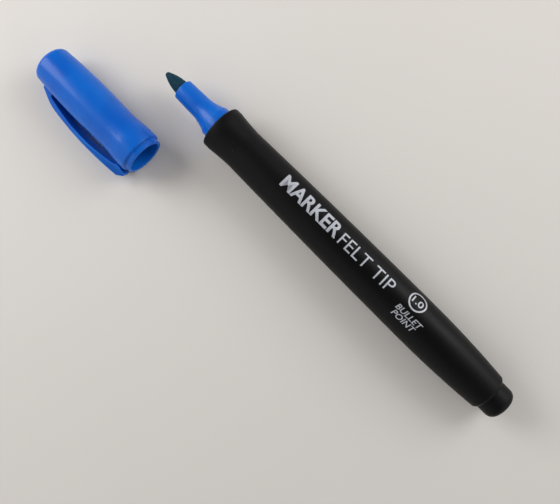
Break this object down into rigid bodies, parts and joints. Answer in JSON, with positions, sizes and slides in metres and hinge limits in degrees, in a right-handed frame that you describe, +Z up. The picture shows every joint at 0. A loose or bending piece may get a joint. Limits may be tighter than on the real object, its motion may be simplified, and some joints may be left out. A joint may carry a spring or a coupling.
{
  "type": "felt tip marker",
  "caption": "Uncapped felt tip marker with a waisted dark barrel, a coloured nose cone and a bullet nib, beside its cap with a pocket clip.",
  "frame": {"origin": "middle of the bounding box on the surface that the marker and its cap lie on", "axes": "+X along the marker's axis from the nib to the tail, +Z up, the cap lies on the -Y side"},
  "size_m": [0.1482, 0.0354, 0.0127],
  "materials": {
    "barrel": "satin moulded black plastic",
    "nose_cone": "glossy moulded blue plastic",
    "nib": "bonded fibre felt wet with ink",
    "reservoir_core": "fibre bundle soaked with ink",
    "reservoir_film": "thin clear plastic film",
    "end_plug": "satin moulded black plastic",
    "cap": "glossy moulded blue plastic",
    "inner_cap": "soft moulded plastic liner",
    "print_ink": "silver grey printed lettering on the barrel"
  },
  "bodies": {
    "marker": {"barrel": "barrel", "nose_cone": "nose_cone", "nib": "nib", "reservoir_core": "reservoir_core", "reservoir_film": "reservoir_film", "end_plug": "end_plug"},
    "cap_liner": {"inner_cap": "inner_cap"},
    "cap": {"cap_shell": "cap"},
    "clip": {"cap_clip": "cap"}
  },
  "joints": [
    {"name": "cap_pull", "type": "slide", "parent": "marker", "child": "cap_liner", "axis": [-1, 0, 0], "range_m": [-0.009, 0.0115]},
    {"name": "cap_turn", "type": "hinge", "parent": "cap_liner", "child": "cap", "pos_m": [-0.05406, -0.0083, 0.00597], "axis": [-0.9999, 0, -0.0131], "range_deg": [0, 235]},
    {"name": "clip_flex", "type": "hinge", "parent": "cap", "child": "clip", "pos_m": [-0.06963, -0.01276, 0.00361], "axis": [0.0118, 0.4368, -0.8995], "range_deg": [0, 4], "stiffness_Nm_per_rad": 2.4}
  ]
}
